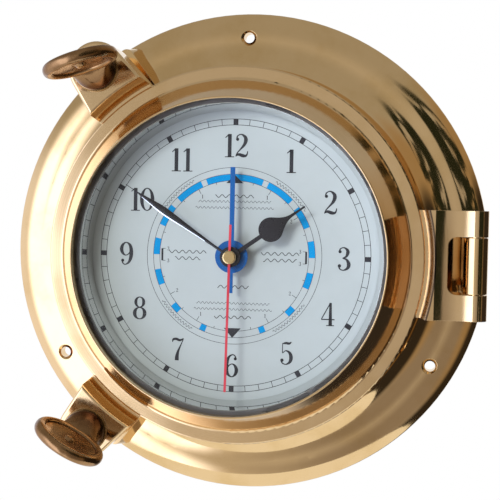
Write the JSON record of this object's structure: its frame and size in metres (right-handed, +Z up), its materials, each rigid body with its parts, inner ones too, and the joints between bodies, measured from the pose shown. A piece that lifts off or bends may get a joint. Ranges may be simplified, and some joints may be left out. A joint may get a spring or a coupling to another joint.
{
  "type": "tide clock",
  "caption": "Wall-hung tide and time clock in a round brass porthole case with a hinged glass door held shut by thumb screws.",
  "frame": {"origin": "centre of the screw circle on the plane of the wall, on the dial's centre line", "axes": "+Z up, -Y out of the wall towards the viewer, +X to the viewer's right, where the hinge is"},
  "size_m": [0.22, 0.0885, 0.22],
  "materials": {
    "polished_brass": "polished",
    "aged_brass": "antique",
    "silvered_ring": "polished",
    "steel": "plain",
    "clear_glass": "clear",
    "black_rubber": "matt",
    "dial_enamel": "satin",
    "black_enamel": "gloss",
    "blue_enamel": "satin",
    "red_enamel": "satin",
    "black_plastic": "moulded",
    "white_plastic": "moulded",
    "battery_sleeve": "printed",
    "green_board": "lacquered"
  },
  "bodies": {
    "case": {"case_flange": "polished_brass", "hinge_pin": "polished_brass", "dial_plate": "dial_enamel", "dial_mounting_ring": "steel", "mounting_ring_screws": "steel", "dial_nuts": "steel", "dial_cushion": "black_rubber", "movement_case": "black_plastic", "movement_cover": "black_plastic", "cover_screws": "steel", "centre_bush": "polished_brass", "bush_nut": "polished_brass", "drive_unit": "white_plastic", "circuit_board": "green_board", "quartz_crystal": "steel", "battery_cell": "battery_sleeve", "battery_contacts": "steel"},
    "door": {"door_ring": "polished_brass", "door_glass": "clear_glass", "glass_seal": "black_rubber", "inner_ring": "silvered_ring", "glass_snap_ring": "steel", "door_gasket": "black_rubber"},
    "upper_washer": {"upper_screw_washer": "aged_brass"},
    "upper_screw": {"upper_thumb_screw": "aged_brass", "upper_screw_clip": "steel"},
    "lower_washer": {"lower_screw_washer": "aged_brass"},
    "lower_screw": {"lower_thumb_screw": "aged_brass", "lower_screw_clip": "steel"},
    "tide_indicator": {"tide_wheel": "polished_brass", "tide_hand": "blue_enamel"},
    "hour_indicator": {"hour_wheel": "polished_brass", "hour_hand": "black_enamel"},
    "minute_indicator": {"minute_arbor": "polished_brass", "minute_hand": "black_enamel"},
    "second_indicator": {"second_arbor": "steel", "second_hand": "red_enamel", "hand_cap": "polished_brass"},
    "motion_work": {"motion_wheel": "polished_brass", "time_set_knob": "white_plastic"},
    "tide_work": {"tide_pinion": "polished_brass", "tide_set_knob": "white_plastic"}
  },
  "joints": [
    {"name": "door_hinge", "type": "hinge", "parent": "case", "child": "door", "pos_m": [0.1017, -0.047, -0.0012], "axis": [0, 0, 1], "range_deg": [0, 120]},
    {"name": "upper_screw_lift", "type": "slide", "parent": "door", "child": "upper_washer", "axis": [0, -1, 0], "range_m": [0, 0.008]},
    {"name": "upper_screw_turn", "type": "hinge", "parent": "upper_washer", "child": "upper_screw", "pos_m": [-0.05884, -0.052, 0.07837], "axis": [0, -1, 0], "range_deg": [0, 2304]},
    {"name": "lower_screw_lift", "type": "slide", "parent": "door", "child": "lower_washer", "axis": [0, -1, 0], "range_m": [0, 0.008]},
    {"name": "lower_screw_turn", "type": "hinge", "parent": "lower_washer", "child": "lower_screw", "pos_m": [-0.06167, -0.052, -0.07616], "axis": [0, -1, 0], "range_deg": [0, 2304]},
    {"name": "minute_turn", "type": "hinge", "parent": "case", "child": "minute_indicator", "pos_m": [0, -0.0498, 0], "axis": [0, 1, 0], "continuous": true},
    {"name": "hour_turn", "type": "hinge", "parent": "case", "child": "hour_indicator", "pos_m": [0, -0.048, 0], "axis": [0, 1, 0], "continuous": true},
    {"name": "second_turn", "type": "hinge", "parent": "case", "child": "second_indicator", "pos_m": [0, -0.0515, 0], "axis": [0, 1, 0], "continuous": true},
    {"name": "tide_turn", "type": "hinge", "parent": "case", "child": "tide_indicator", "pos_m": [0, -0.0462, 0], "axis": [0, 1, 0], "continuous": true},
    {"name": "motion_work_turn", "type": "hinge", "parent": "case", "child": "motion_work", "pos_m": [0, -0.031, -0.012], "axis": [0, 1, 0], "continuous": true},
    {"name": "tide_work_turn", "type": "hinge", "parent": "case", "child": "tide_work", "pos_m": [0, -0.034, 0.01208], "axis": [0, 1, 0], "continuous": true}
  ],
  "couplings": [
    {"joint": "upper_screw_turn", "follows": "upper_screw_lift", "rad_per_m": 5026.5},
    {"joint": "lower_screw_turn", "follows": "lower_screw_lift", "rad_per_m": 5026.5},
    {"joint": "hour_turn", "follows": "minute_turn", "ratio": 0.083333},
    {"joint": "tide_turn", "follows": "minute_turn", "ratio": 0.080508},
    {"joint": "motion_work_turn", "follows": "minute_turn", "ratio": -0.33333},
    {"joint": "tide_work_turn", "follows": "minute_turn", "ratio": -0.39583}
  ]
}
